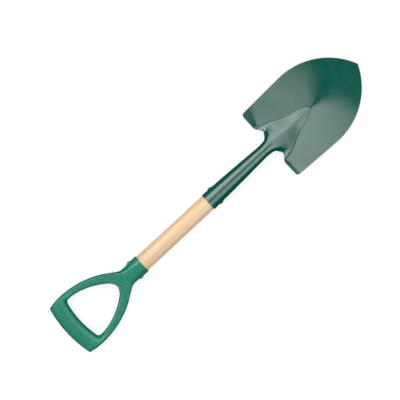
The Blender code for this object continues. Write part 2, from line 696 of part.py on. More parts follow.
def main():
    clear_scene()
    pieces = new_collection("garden_spade")
    cutters = new_collection("cutters")
    axis = bpy.data.objects.new("shaft_axis", None)
    axis.location = AXIS_START
    axis.rotation_euler = (AXIS_TILT, 0, 0)
    pieces.objects.link(axis)

    enamel = new_material("green_enamel", (0.004, 0.090, 0.062), 0.18, 0.0)
    wood = new_material("pale_wood", (0.76, 0.50, 0.27), 0.5, 0.0)
    plastic = new_material("green_plastic", (0.022, 0.220, 0.135), 0.42, 0.0)
    steel = new_material("plain_steel", (0.30, 0.30, 0.32), 0.35, 1.0)

    blade_head = add_blade_head(pieces, axis, enamel)
    shaft = add_shaft(pieces, axis, wood)
    grip = add_grip(pieces, axis, plastic)
    socket_seat = float(socket_radius(SOCKET_RIVET_Y)) + GAP / 2
    add_rivet("socket_rivet", SOCKET_RIVET_Y, socket_seat, SOCKET_RIVET_HEAD, pieces, axis, enamel)
    collar_seat = COLLAR_RIVET_RADIUS + GAP / 2
    add_rivet("grip_rivet", GRIP_RIVET_Y, collar_seat, GRIP_RIVET_HEAD, pieces, axis, steel)

    socket_hole = add_rivet_cutter("socket_hole_cutter", SOCKET_RIVET_Y, cutters, axis)
    grip_hole = add_rivet_cutter("grip_hole_cutter", GRIP_RIVET_Y, cutters, axis)
    cut(blade_head, socket_hole)
    cut(shaft, socket_hole)
    cut(shaft, grip_hole)
    cut(grip, add_bore_cutter(cutters, axis))
    cut(grip, grip_hole)
    cut(grip, add_ground_cutter(cutters))


main()
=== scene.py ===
"""Looks for the short garden shovel: fine surfaces, materials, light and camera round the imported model.

Every piece is drawn in the tool's own frame, as in the CAD: Y runs along the shaft's axis from the outer
edge of the grip to the tip of the blade, X is across, and the blade's hollow face looks along +Z.
"""

import math

import bmesh
import bpy
import numpy as np
from mathutils import Matrix, Vector


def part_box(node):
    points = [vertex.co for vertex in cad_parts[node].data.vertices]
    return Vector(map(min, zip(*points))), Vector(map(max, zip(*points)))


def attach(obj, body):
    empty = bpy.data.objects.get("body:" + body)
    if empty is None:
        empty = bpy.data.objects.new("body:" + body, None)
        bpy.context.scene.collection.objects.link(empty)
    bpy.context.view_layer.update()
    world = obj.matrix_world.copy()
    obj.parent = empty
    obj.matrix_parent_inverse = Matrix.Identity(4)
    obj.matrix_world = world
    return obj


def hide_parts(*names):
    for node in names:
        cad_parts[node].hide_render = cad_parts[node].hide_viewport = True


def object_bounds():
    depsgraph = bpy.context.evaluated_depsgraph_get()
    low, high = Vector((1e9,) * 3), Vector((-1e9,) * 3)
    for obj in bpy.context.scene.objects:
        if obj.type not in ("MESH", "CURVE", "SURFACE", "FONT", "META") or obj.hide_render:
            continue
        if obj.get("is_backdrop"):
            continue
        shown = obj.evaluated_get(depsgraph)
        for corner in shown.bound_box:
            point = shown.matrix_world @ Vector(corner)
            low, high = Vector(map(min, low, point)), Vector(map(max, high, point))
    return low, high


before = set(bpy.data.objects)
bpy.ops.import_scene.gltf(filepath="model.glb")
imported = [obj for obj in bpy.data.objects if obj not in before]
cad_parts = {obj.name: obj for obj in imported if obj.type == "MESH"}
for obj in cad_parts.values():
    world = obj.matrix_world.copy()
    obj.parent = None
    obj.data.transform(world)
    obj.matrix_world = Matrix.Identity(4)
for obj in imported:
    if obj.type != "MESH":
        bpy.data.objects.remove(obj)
CAD_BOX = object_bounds()

MM = 0.001
GAP = 0.3 * MM  # clearance between pieces that touch

# Whole tool, as distances along the shaft from the outer edge of the grip
COLLAR_MOUTH_Y = 183 * MM
SOCKET_MOUTH_Y = 345 * MM
JOIN_Y = 504 * MM  # where the rolled strip of the socket becomes part of the blade
TIP_Y = 711.5 * MM
GRIP_RIVET_Y = 166 * MM
SOCKET_RIVET_Y = 363 * MM

# Sheet metal
SHEET = 1.5 * MM

# Blade outline
SHOULDER_Y = 495.3 * MM
SHOULDER_HALF_WIDTH = 74.2 * MM
BLADE_HALF_WIDTH = 77.6 * MM
WIDEST_Y = 594 * MM
CORNER_RADIUS = 5 * MM
OGIVE_LENGTH = TIP_Y - WIDEST_Y
OGIVE_RADIUS = (BLADE_HALF_WIDTH**2 + OGIVE_LENGTH**2) / (2 * BLADE_HALF_WIDTH)

# Blade dish, seen on its hollow face
VALLEY_LOW_Y = 590 * MM
VALLEY_LOW_Z = -20.2 * MM
TIP_RISE = 8 * MM
TIP_RISE_END_Y = 662 * MM
SHOULDER_RISE = 2 * MM
SIDE_SLOPE = 0.195
SIDE_FLATTENING = 0.28  # share of that slope lost towards the tip
FLATTENING_START_Y = 548 * MM
FLATTENING_END_Y = 634 * MM
EDGE_LIFT = -1.2 * MM
VALLEY_RADIUS = 2 * MM  # at the frog's tip
VALLEY_RADIUS_GROWTH = 412 * MM  # from there to the blade's tip
VALLEY_GROWTH_POWER = 1.8

# Frog: the raised V that runs down from the socket
FROG_TIP_Y = 593.4 * MM
FROG_HALF_WIDTHS = [  # (distance along the tool, half width)
    (495 * MM, 36.4 * MM),
    (505 * MM, 34.5 * MM),
    (525 * MM, 28.9 * MM),
    (540 * MM, 21.3 * MM),
    (555 * MM, 14.9 * MM),
    (570 * MM, 10.9 * MM),
    (585 * MM, 5.3 * MM),
    (FROG_TIP_Y, 0.4 * MM),
]
FROG_WALL = 4.2 * MM  # width of the steep edge round the frog
FROG_EDGE_HEIGHT = 3.6 * MM
FROG_TIP_HEIGHT = 1.6 * MM
FROG_END = 2 * MM  # length over which its tip runs out into the blade
CREST_START_Y = 482 * MM
CREST_START_SLOPE = -0.08
CREST_END_SLOPE = -0.15
RIDGE_SOFTNESS = 0.08
TUBE_RADIUS = 12.5 * MM  # of the socket's round crest, at the neck
TUBE_SPREAD = 25 * MM  # how much that radius grows on the frog
TUBE_FLANK = math.radians(60)  # steepest slope of its sides
TUBE_HEIGHT = 10 * MM  # above the frog's ridge, at the neck
TUBE_START_Y = 492 * MM  # between these two the round crest turns into the frog's ridge
TUBE_END_Y = 524 * MM
TUBE_FILLET = 4 * MM

# Rim rolled back beside the neck
ROLL_DROP = 3.5 * MM
ROLL_INNER_X = 13 * MM
ROLL_FULL_X = 22 * MM
ROLL_FADE_X = 25.5 * MM
ROLL_OUTER_X = 29.5 * MM
ROLL_START_Y = 498 * MM
ROLL_END_Y = 511 * MM

# Turned steps and the notches beside the neck
NOTCH_APEX_X = 26 * MM
NOTCH_OUTER_X = 37.5 * MM
NOTCH_OUTER_Y = 496.3 * MM
NOTCH_POWER = 1.5  # how roundly its outer edge leaves the apex
NOTCH_CORNER = 1 * MM  # width of the turn from the notch to the shoulder
STEP_INNER_X = 42 * MM
STEP_OUTER_X = 74 * MM
STEP_INNER_DEPTH = 8 * MM
STEP_OUTER_DEPTH = 30 * MM
STEP_DROP = 7.5 * MM
NOTCH_RIM = 3.5 * MM

# Rolled socket
SOCKET_MOUTH_RADIUS = 16.9 * MM
SOCKET_TAPER = 0.0275
SOCKET_BOW = 0.088 / (1000 * MM)
NECK_Y = 479 * MM
OPENING_Y = 463 * MM  # where the seam at the back starts to open
OPENING_POWER = 2.4
OPENING_ROUND = 0.1  # share of the opening's width that its round end takes
OPENING_ROUND_POWER = 12
SEAM_HALF_GAP = 0.75 * MM

# Wooden shaft
SHAFT_START_Y = 149 * MM
SHAFT_END_Y = 450 * MM
SHAFT_GRIP_RADIUS = 15.9 * MM
SHAFT_SOCKET_RADIUS = 15.5 * MM
TENON_RADIUS = 12.3 * MM
TENON_END_RADIUS = 11 * MM
SHAFT_EDGE = 0.8 * MM
SHAFT_TURN = 1.5 * MM  # length over which it narrows to enter the socket

# Grip
BAR_HALF_DEPTH = 17 * MM
BAR_ROUNDING = 16.5 * MM
BAR_SQUARENESS = 2.3  # 2 is a circle
BAR_FADE_Y = (30 * MM, 54 * MM)  # between these two the thick bar turns into the thinner arms
ARM_HALF_DEPTH = 9 * MM
ARM_ROUNDING = 4.5 * MM
COLLAR_GROWTH_Y = (112 * MM, 158 * MM)  # between these two the arms' depth grows to the collar's
SIDE_GROWTH_Y = (122 * MM, 156 * MM)  # and the rounding of the sides grows to a half circle
WEB_START_Y = 126 * MM  # from here the flat web climbs to the collar
WEB_SLOPE = 0.174
WEB_TOP = 17.1 * MM
WEB_BLEND = 0.6 * MM
BAR_OUTER_Y = 0.0
BAR_INNER_Y = 32.3 * MM
BAR_OUTER_BOW = 6.5 * MM  # how far the outer edge curves back at the bar's ends
BAR_INNER_BOW = 5.5 * MM
BAR_END_X = 53.5 * MM
BAR_CORNER = 2 * MM  # length of the outer edge that the bar's outer corner takes
COLLAR_RADIUS = 17.8 * MM
COLLAR_RIVET_RADIUS = 17.6 * MM  # of the collar where the rivet's heads sit on it
OPENING_TOP_Y = 123 * MM
OPENING_CORNER_X = 43.2 * MM
OPENING_CORNER_START_X = 38.4 * MM  # where the opening's straight side starts to turn
OPENING_CORNER_MIDDLE = (42.1 * MM, 39.2 * MM)
GRIP_SIDE = [  # outer edge, from the bar's end to the collar's mouth
    (53.6 * MM, 7.2 * MM),
    (56.2 * MM, 25 * MM),
    (56.6 * MM, 41 * MM),
    (54 * MM, 65 * MM),
    (46.1 * MM, 93.6 * MM),
    (36.3 * MM, 115 * MM),
    (24.3 * MM, 133.5 * MM),
    (17.5 * MM, 145 * MM),
    (16.7 * MM, 152 * MM),
    (COLLAR_RIVET_RADIUS, GRIP_RIVET_Y),
    (COLLAR_RADIUS, 175 * MM),
    (COLLAR_RADIUS, COLLAR_MOUTH_Y),
]
GRIP_ARCH = [  # inner edge, from the opening's lower corner to its top
    (OPENING_CORNER_X, 43.5 * MM),
    (42.6 * MM, 52 * MM),
    (40.1 * MM, 65 * MM),
    (35.5 * MM, 79 * MM),
    (28.7 * MM, 93.6 * MM),
    (19.5 * MM, 108 * MM),
    (10.5 * MM, 118.4 * MM),
    (0, OPENING_TOP_Y),
]

# Rivets
RIVET_SHANK_RADIUS = 2.5 * MM
SOCKET_RIVET_HEAD = (4.4 * MM, 1.7 * MM)  # radius and height of each domed head
GRIP_RIVET_HEAD = (4.1 * MM, 2.0 * MM)
HOLE_REACH = 30 * MM  # of the tool that cuts its hole, to each side of the axis
BORE_REACH = 10 * MM  # of the tool that cuts the collar's bore, past the mouth

# Ahead of the frog its columns of points fan out over the middle of the blade
MIDDLE_SHARE = 0.45  # of the blade's half width
MIDDLE_EDGE = 0.1
MIDDLE_REACHED = 0.7  # of the way from the frog's tip to the blade's

# Where the grip's lofted stretches meet: bar, corner, arm and web
BAR_SECTION_X = 47 * MM
BAR_SIDE_Y = 34.5 * MM
WEB_INNER_Y = 115.5 * MM
WEB_OUTER_Y = 120.5 * MM

# How finely the surfaces are divided
LINE_SAMPLES = 1200  # points tried along a smooth curve before they are evened out
FROG_LINE_POINTS = 200
ARCH_POINTS = 160
SIDE_POINTS = 240
MOUTH_POINTS = 40
SOCKET_COLUMNS = 33
EDGE_COLUMNS = 5
WALL_COLUMNS = 6
WING_COLUMNS = 22
SOCKET_ROWS = 34
BAND_ROWS = 10
FROG_ROWS = 60
BLADE_ROWS = 40
BLADE_ROW_POWER = 1.5  # rows lie closer together towards the tip
SHAFT_STEPS = 96
SHAFT_TAPER_POINTS = 24
GRIP_COLUMNS = 28
GRIP_COUNTS = (26, 26, 44, 46)  # along the bar, the corner, the arm and the web
RIVET_STEPS = 48
RIVET_DOME_POINTS = 10
MERGE = 0.01 * MM  # points closer than this become one

# Edges that turn by more than this stay sharp
SHEET_SHARP = math.radians(50)
SHAFT_SHARP = math.radians(35)
GRIP_SHARP = math.radians(40)
RIVET_SHARP = math.radians(50)


def smoothstep(value, start, end):
    """0 before start, 1 after end, with a soft S between them."""
    t = np.clip((value - start) / (end - start), 0, 1)
    return t * t * (3 - 2 * t)


def smooth_line(points, count):
    """The given number of points, evenly spread along a smooth curve through these ones."""
    knots = np.array(points, float)
    chord = np.concatenate([[0], np.cumsum(np.linalg.norm(np.diff(knots, axis=0), axis=1))])
    slopes = np.gradient(knots, chord, axis=0)
    at = np.linspace(0, chord[-1], LINE_SAMPLES)
    index = np.clip(np.searchsorted(chord, at, side="right") - 1, 0, len(chord) - 2)
    step = (chord[index + 1] - chord[index])[:, None]
    t = (at[:, None] - chord[index][:, None]) / step
    fine = (
        (2 * t**3 - 3 * t**2 + 1) * knots[index]
        + (t**3 - 2 * t**2 + t) * step * slopes[index]
        + (3 * t**2 - 2 * t**3) * knots[index + 1]
        + (t**3 - t**2) * step * slopes[index + 1]
    )
    length = np.concatenate([[0], np.cumsum(np.linalg.norm(np.diff(fine, axis=0), axis=1))])
    even = np.linspace(0, length[-1], count)
    return np.column_stack([np.interp(even, length, fine[:, axis]) for axis in (0, 1)])


# Where the tool lies


def middle(node):
    low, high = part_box(node)
    return (low + high) / 2


def tool_frame():
    """The tool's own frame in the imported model: its Y axis runs through the middles of both rivets."""
    start = middle("grip_rivet")
    along = (middle("socket_rivet") - start).normalized()
    tilt = math.atan2(along.z, along.y)
    return Matrix.Translation(start - along * GRIP_RIVET_Y) @ Matrix.Rotation(tilt, 4, "X")


TOOL = tool_frame()


# Mesh helpers


def add_mesh(name, bm):
    """An object of this mesh, in the tool's own frame."""
    mesh = bpy.data.meshes.new(name)
    bm.to_mesh(mesh)
    bm.free()
    mesh.shade_smooth()
    obj = bpy.data.objects.new(name, mesh)
    bpy.context.scene.collection.objects.link(obj)
    obj.matrix_world = TOOL
    return obj


def bake(obj):
    """Applies the object's modifiers."""
    bpy.context.view_layer.update()
    evaluated = obj.evaluated_get(bpy.context.evaluated_depsgraph_get())
    mesh = bpy.data.meshes.new_from_object(evaluated)
    obj.modifiers.clear()
    obj.data = mesh
    return obj


def cut(obj, tool):
    modifier = obj.modifiers.new("cut", "BOOLEAN")
    modifier.operation = "DIFFERENCE"
    modifier.solver = "EXACT"
    modifier.object = tool


def mirror(obj):
    modifier = obj.modifiers.new("mirror", "MIRROR")
    modifier.use_axis = (True, False, False)
    modifier.merge_threshold = MERGE


def turned(name, profile, steps, turn):
    """A solid turned about the object's Z axis, its profile given as (radius, height), then laid."""
    bm = bmesh.new()
    points = [bm.verts.new((radius, 0, height)) for radius, height in profile]
    for first, second in zip(points, points[1:]):
        bm.edges.new((first, second))
    obj = add_mesh(name, bm)
    screw = obj.modifiers.new("turn", "SCREW")
    screw.steps = steps
    screw.render_steps = steps
    screw.use_merge_vertices = True
    screw.merge_threshold = MERGE
    bake(obj)
    obj.data.transform(turn)
    obj.data.shade_smooth()
    return obj


def grid(bm, rows, edge_layer=None):
    """Faces between rows of points, each (x, y, z) or, with a layer, (x, y, z, edge distance)."""
    verts = []
    for row in rows:
        verts.append([bm.verts.new(point[:3]) for point in row])
        if edge_layer:
            for vert, point in zip(verts[-1], row):
                vert[edge_layer] = point[3]
    for row, following in zip(verts, verts[1:]):
        for a, b, c, d in zip(row, row[1:], following[1:], following):
            bm.faces.new((a, b, c, d))


# Blade head


def blade_half_width(y):
    """Sides that widen slightly, then a round ogive to the tip, with rounded rear corners."""
    side = np.interp(y, [SHOULDER_Y, WIDEST_Y], [SHOULDER_HALF_WIDTH, BLADE_HALF_WIDTH])
    ahead = np.clip(y - WIDEST_Y, 0, OGIVE_LENGTH)
    ogive = BLADE_HALF_WIDTH - OGIVE_RADIUS + np.sqrt(OGIVE_RADIUS**2 - ahead**2)
    inset = np.clip(SHOULDER_Y + CORNER_RADIUS - y, 0, CORNER_RADIUS)
    corner = CORNER_RADIUS - np.sqrt(CORNER_RADIUS**2 - inset**2)
    return np.where(y > WIDEST_Y, ogive, side) - corner


FROG_LINE = smooth_line(FROG_HALF_WIDTHS, FROG_LINE_POINTS)


def frog_half_width(y):
    return np.interp(y, FROG_LINE[:, 0], FROG_LINE[:, 1])


def valley_height(y):
    """Height of the blade's centre line, a shallow bow that rises towards the tip and the shoulder."""
    ahead = TIP_RISE * smoothstep(y, VALLEY_LOW_Y, TIP_RISE_END_Y)
    behind = np.maximum(VALLEY_LOW_Y - y, 0) / (VALLEY_LOW_Y - SHOULDER_Y)
    return VALLEY_LOW_Z + ahead + SHOULDER_RISE * behind**2


def dish_height(x, y):
    """The blade without its frog: a V whose rounded bottom widens towards the tip."""
    opened = np.clip((y - FROG_TIP_Y) / (TIP_Y - FROG_TIP_Y), 0, 1)
    radius = VALLEY_RADIUS + VALLEY_RADIUS_GROWTH * opened**VALLEY_GROWTH_POWER
    flattened = 1 - SIDE_FLATTENING * smoothstep(y, FLATTENING_START_Y, FLATTENING_END_Y)
    side = SIDE_SLOPE * flattened * (np.hypot(x, radius) - radius)
    return valley_height(y) + side + EDGE_LIFT * (x / BLADE_HALF_WIDTH) ** 2


def crest_height(y):
    """Top line of the frog, from the neck down to the blade at the frog's tip."""
    run = FROG_TIP_Y - CREST_START_Y
    t = np.clip((y - CREST_START_Y) / run, 0, 1)
    start = socket_radius(CREST_START_Y)
    end = dish_height(0, FROG_TIP_Y) + FROG_TIP_HEIGHT
    return (
        (2 * t**3 - 3 * t**2 + 1) * start
        + (t**3 - 2 * t**2 + t) * run * CREST_START_SLOPE
        + (3 * t**2 - 2 * t**3) * end
        + (t**3 - t**2) * run * CREST_END_SLOPE
    )


def soft_max(first, second, blend):
    """The higher of two surfaces, with a fillet where they meet."""
    share = np.clip(0.5 + (second - first) / (2 * blend), 0, 1)
    return first + (second - first) * share + blend * share * (1 - share)


def tube_height(x, y, crest):
    """A round crest, wider towards the frog, whose sides go on at their steepest slope."""
    radius = TUBE_RADIUS + TUBE_SPREAD * smoothstep(y, CREST_START_Y, TUBE_END_Y)
    round_x = radius * math.sin(TUBE_FLANK)
    near = np.minimum(x, round_x)
    drop = radius - np.sqrt(radius**2 - near**2)
    return crest - drop - (x - near) * math.tan(TUBE_FLANK)


def wall_share(t):
    """An S of two equal arcs, from 0 to 1."""
    t = np.clip(t, 0, 1)
    return np.where(t < 0.5, 2 * t**2, 1 - 2 * (1 - t) ** 2)


def front_height(x, y):
    """Height of the blade's hollow face, frog included."""
    dish = dish_height(x, y)
    half = frog_half_width(y)
    along = np.clip((y - JOIN_Y) / (FROG_TIP_Y - JOIN_Y), 0, 1)
    edge_height = FROG_EDGE_HEIGHT + (FROG_TIP_HEIGHT - FROG_EDGE_HEIGHT) * along
    edge = dish_height(half, y) + edge_height
    across = np.clip(x / half, 0, 1)
    fall = np.hypot(across, RIDGE_SOFTNESS) - RIDGE_SOFTNESS
    tent = 1 - fall / (math.hypot(1, RIDGE_SOFTNESS) - RIDGE_SOFTNESS)
    crest = crest_height(y)
    low_ridge = edge + (crest - TUBE_HEIGHT - edge) * tent
    neck = soft_max(low_ridge, tube_height(x, y, crest), TUBE_FILLET)
    neck = np.minimum(neck, np.maximum(crest, edge))
    frog = neck + (edge + (crest - edge) * tent - neck) * smoothstep(y, TUBE_START_Y, TUBE_END_Y)
    rolled = smoothstep(x, ROLL_INNER_X, ROLL_FULL_X) * (1 - smoothstep(x, ROLL_FADE_X, ROLL_OUTER_X))
    frog = frog - ROLL_DROP * rolled * (1 - smoothstep(y, ROLL_START_Y, ROLL_END_Y))
    frog = frog + (dish - edge) * wall_share((x - half) / FROG_WALL)
    raised = np.where(x < half + FROG_WALL, np.maximum(frog - dish, 0), 0)
    return dish + raised * (1 - smoothstep(y, FROG_TIP_Y - FROG_END, FROG_TIP_Y))


def socket_radius(y):
    """Outer radius of the rolled socket, slightly bowed from its mouth to the neck."""
    run = np.minimum(y, NECK_Y) - SOCKET_MOUTH_Y
    return SOCKET_MOUTH_RADIUS - SOCKET_TAPER * run - SOCKET_BOW * run**2


def socket_section(share, y):
    """One half of the rolled strip at y: share runs from the crest (0) to the seam's edge (1)."""
    radius = socket_radius(y)
    roll = (math.pi - SEAM_HALF_GAP / radius) * share
    opening = np.clip((y - OPENING_Y) / (JOIN_Y - OPENING_Y), 0, 1)
    round_end = 1 - np.sqrt(1 - opening**OPENING_ROUND_POWER)
    spread = (1 - OPENING_ROUND) * opening**OPENING_POWER + OPENING_ROUND * round_end
    settled = smoothstep(opening, 0, 1) ** 2
    flat_x = NOTCH_APEX_X * share
    crest = np.where(y < CREST_START_Y, radius, crest_height(y))
    rolled_z = crest - radius * (1 - np.cos(roll))
    x = radius * np.sin(roll) * (1 - spread) + flat_x * spread
    z = rolled_z + (front_height(flat_x, y) - rolled_z) * settled
    return x, z


def socket_rows(shares):
    before = np.linspace(SOCKET_MOUTH_Y, OPENING_Y, SOCKET_ROWS // 2)
    after = np.linspace(OPENING_Y, JOIN_Y, SOCKET_ROWS)[1:]
    for y in np.concatenate([before, after]):
        x, z = socket_section(shares, y)
        seam = (1 - shares) * math.pi * socket_radius(y)
        yield list(zip(x, np.full(len(shares), y), z, np.minimum(seam, y - SOCKET_MOUTH_Y)))


def rear_edge(across):
    """Distance along the tool of the blade's rear edge, for a place across the shoulder."""
    beyond_apex = np.clip((across - NOTCH_APEX_X) / (NOTCH_OUTER_X - NOTCH_APEX_X), 0, 1)
    beyond_notch = np.clip((across - NOTCH_OUTER_X) / NOTCH_CORNER, 0, 1)
    notch = JOIN_Y - (JOIN_Y - NOTCH_OUTER_Y) * beyond_apex**NOTCH_POWER
    return notch - (NOTCH_OUTER_Y - SHOULDER_Y) * beyond_notch


def blade_columns(shares):
    """How far across the frog, its wall and the wing beyond it each column of points lies, from 0 to 1."""
    apex = NOTCH_APEX_X / float(frog_half_width(JOIN_Y))
    on_frog = np.concatenate([shares * apex, np.linspace(apex, 1, EDGE_COLUMNS + 1)[1:]])
    on_wall = np.linspace(0, 1, WALL_COLUMNS + 1)[1:]
    on_wing = (1 - np.cos(np.linspace(0, math.pi, WING_COLUMNS + 1)[1:])) / 2
    frog = np.concatenate([on_frog, np.ones(WALL_COLUMNS + WING_COLUMNS)])
    wall = np.concatenate([0 * on_frog, on_wall, np.ones(WING_COLUMNS)])
    wing = np.concatenate([0 * on_frog, 0 * on_wall, on_wing])
    return frog, wall, wing


def blade_rows(shares):
    """Rows of points from the rear edge to the tip, with columns that follow the frog's edge."""
    frog, wall, wing = blade_columns(shares)
    crease = float(frog_half_width(JOIN_Y))
    nominal = frog * crease + wall * FROG_WALL + wing * (SHOULDER_HALF_WIDTH - crease - FROG_WALL)
    rear = rear_edge(nominal)
    drop = STEP_DROP * smoothstep(nominal, NOTCH_OUTER_X - NOTCH_CORNER, STEP_INNER_X)
    band = NOTCH_RIM + (STEP_INNER_DEPTH - NOTCH_RIM) * smoothstep(nominal, NOTCH_APEX_X, STEP_INNER_X)
    outward = np.clip((nominal - STEP_INNER_X) / (STEP_OUTER_X - STEP_INNER_X), 0, 1)
    band = band + (STEP_OUTER_DEPTH - STEP_INNER_DEPTH) * outward
    behind_notch = nominal > NOTCH_APEX_X

    def row(y, fall):
        width = blade_half_width(y)
        ahead = np.clip((y - FROG_TIP_Y) / (TIP_Y - FROG_TIP_Y), 0, 1)
        middle_width = MIDDLE_SHARE * width
        crease = frog_half_width(y) + middle_width * smoothstep(ahead, 0, MIDDLE_REACHED)
        crease = np.where(ahead > 0, np.minimum(crease, middle_width), crease)
        edge = np.minimum(FROG_WALL * (1 + 2 * ahead), MIDDLE_EDGE * width)
        x = frog * crease + wall * edge + wing * (width - crease - edge)
        free = np.minimum(width - x, np.where(behind_notch, y - rear, width))
        return list(zip(x, y, front_height(x, y) - fall, free))

    for turn in np.linspace(math.pi / 2, 0, BAND_ROWS, endpoint=False):
        yield row(rear + band * (1 - math.sin(turn)), drop * (1 - math.cos(turn)))
    for share in np.linspace(0, 1, FROG_ROWS, endpoint=False):
        yield row(rear + band + (FROG_TIP_Y - rear - band) * share, 0 * nominal)
    for left in np.linspace(1, 0, BLADE_ROWS):
        y = TIP_Y - (TIP_Y - FROG_TIP_Y) * left**BLADE_ROW_POWER
        yield row(np.full(len(nominal), y), 0 * nominal)


def make_blade_head():
    """One pressed and rolled sheet: half of its front face, mirrored and thickened backwards."""
    shares = np.linspace(0, 1, SOCKET_COLUMNS)
    bm = bmesh.new()
    edge_layer = bm.verts.layers.float.new("edge_distance")
    grid(bm, socket_rows(shares), edge_layer)
    grid(bm, blade_rows(shares), edge_layer)
    bmesh.ops.remove_doubles(bm, verts=bm.verts, dist=2 * MERGE)
    bmesh.ops.dissolve_degenerate(bm, edges=bm.edges, dist=MERGE)
    obj = add_mesh("blade_head_skin", bm)
    mirror(obj)
    thicken = obj.modifiers.new("sheet", "SOLIDIFY")
    thicken.thickness = SHEET
    thicken.offset = -1
    thicken.use_even_offset = True
    drill(obj, SOCKET_RIVET_Y)
    bake(obj)
    obj.data.set_sharp_from_angle(angle=SHEET_SHARP)
    return obj


# Wooden shaft

ALONG_SHAFT = Matrix.Rotation(-math.pi / 2, 4, "X")


def make_shaft():
    """Turned: a tenon for the grip, the bare length, then a taper that follows the socket's inside."""
    inside = [
        (float(socket_radius(y)) - SHEET - GAP, y)
        for y in np.linspace(SHAFT_END_Y - SHAFT_EDGE, SOCKET_MOUTH_Y, SHAFT_TAPER_POINTS)
    ]
    bare = [
        (SHAFT_SOCKET_RADIUS, SOCKET_MOUTH_Y - SHAFT_TURN),
        (SHAFT_GRIP_RADIUS, COLLAR_MOUTH_Y + GAP + SHAFT_EDGE),
        (SHAFT_GRIP_RADIUS - SHAFT_EDGE / 2, COLLAR_MOUTH_Y + GAP),
    ]
    tenon = [
        (TENON_RADIUS, COLLAR_MOUTH_Y + GAP),
        (TENON_END_RADIUS, SHAFT_START_Y + SHAFT_EDGE),
        (TENON_END_RADIUS - SHAFT_EDGE, SHAFT_START_Y),
        (0, SHAFT_START_Y),
    ]
    end = [(0, SHAFT_END_Y), (inside[0][0] - SHAFT_EDGE, SHAFT_END_Y)]
    obj = turned("shaft_turned", end + inside + bare + tenon, SHAFT_STEPS, ALONG_SHAFT)
    drill(obj, SOCKET_RIVET_Y)
    drill(obj, GRIP_RIVET_Y)
    bake(obj)
    obj.data.set_sharp_from_angle(angle=SHAFT_SHARP)
    return obj


# Grip


def bar_outer_edge(x):
    return BAR_OUTER_Y + BAR_OUTER_BOW * (x / BAR_END_X) ** 2


def bar_inner_edge(x):
    return BAR_INNER_Y + BAR_INNER_BOW * (x / OPENING_CORNER_X) ** 2


def distance_to(points, line):
    """Distance from each point to a line of many points."""
    start, end = line[:-1], line[1:]
    span = end - start
    offset = points[:, None, :] - start[None]
    t = np.clip((offset * span).sum(-1) / (span**2).sum(-1), 0, 1)
    return np.linalg.norm(offset - t[..., None] * span, axis=-1).min(1)


def rim(distance, rounding, power=2):
    """Share of the full depth at this distance from a rounded edge."""
    inset = 1 - np.clip(distance / rounding, 0, 1)
    return (1 - inset**power) ** (1 / power)


def grip_half_depth(points, side, opening):
    """Half of the grip's depth: a round bar, flat arms with rounded edges, and a round collar."""
    x, y = points[:, 0], points[:, 1]
    beyond_bar = smoothstep(y, *BAR_FADE_Y)
    collar = smoothstep(y, *COLLAR_GROWTH_Y)
    radius = np.interp(y, side[:, 1], side[:, 0])
    flat = BAR_HALF_DEPTH + (ARM_HALF_DEPTH - BAR_HALF_DEPTH) * beyond_bar
    flat = np.minimum(flat + WEB_SLOPE * np.maximum(y - WEB_START_Y, 0), np.maximum(flat, WEB_TOP))
    depth = flat + (radius - flat) * collar
    inner_rounding = BAR_ROUNDING + (ARM_ROUNDING - BAR_ROUNDING) * beyond_bar
    side_rounding = ARM_ROUNDING + (radius - ARM_ROUNDING) * smoothstep(y, *SIDE_GROWTH_Y)
    share = rim(distance_to(points, opening), inner_rounding, BAR_SQUARENESS)
    share = share * rim(distance_to(points, side), side_rounding)
    share = share * rim(y - bar_outer_edge(x), BAR_ROUNDING, BAR_SQUARENESS)
    return -soft_max(-depth * share, -flat, WEB_BLEND)


def grip_sections():
    """Pairs of lines, one along the opening and one along the outside, each pair with equal counts."""
    corner_start = (OPENING_CORNER_START_X, float(bar_inner_edge(OPENING_CORNER_START_X)))
    corner = [corner_start, OPENING_CORNER_MIDDLE, GRIP_ARCH[0]]
    bar_x = np.linspace(0, OPENING_CORNER_START_X, GRIP_COUNTS[0])
    outer_x = np.linspace(0, BAR_SECTION_X, GRIP_COUNTS[0])
    other_half = [(-x, y) for x, y in reversed(GRIP_ARCH[:-1])]
    arch = smooth_line(GRIP_ARCH + other_half, 2 * ARCH_POINTS - 1)[:ARCH_POINTS]
    side = smooth_line(GRIP_SIDE, SIDE_POINTS)
    arm_end = int(np.searchsorted(arch[:, 1], WEB_INNER_Y))
    side_bar = int(np.searchsorted(side[:, 1], BAR_SIDE_Y))
    side_arm = int(np.searchsorted(side[:, 1], WEB_OUTER_Y))
    end_x = np.linspace(BAR_SECTION_X, BAR_END_X - BAR_CORNER, 3)
    end = np.column_stack([end_x, bar_outer_edge(end_x)])
    mouth_x = np.linspace(COLLAR_RADIUS, 0, MOUTH_POINTS)
    mouth = np.column_stack([mouth_x, np.full(MOUTH_POINTS, COLLAR_MOUTH_Y)])
    mouth_count = GRIP_COUNTS[3] // 2
    inner = [
        np.column_stack([bar_x, bar_inner_edge(bar_x)]),
        smooth_line(corner, GRIP_COUNTS[1]),
        smooth_line(arch[: arm_end + 1], GRIP_COUNTS[2]),
        smooth_line(arch[arm_end:], GRIP_COUNTS[3]),
    ]
    collar = smooth_line(side[side_arm:], GRIP_COUNTS[3] - mouth_count)
    outer = [
        np.column_stack([outer_x, bar_outer_edge(outer_x)]),
        smooth_line(np.vstack([end, side[1 : side_bar + 1]]), GRIP_COUNTS[1]),
        smooth_line(side[side_bar : side_arm + 1], GRIP_COUNTS[2]),
        np.vstack([collar, smooth_line(mouth, mouth_count + 1)[1:]]),
    ]
    return inner, outer, side, arch


def ground_height(y):
    """Height of the ground below the shaft's axis, in the tool's own frame."""
    slope = TOOL.to_3x3() @ Vector((0, 1, 0))
    return -(TOOL.translation.z + y * slope.z) / slope.y


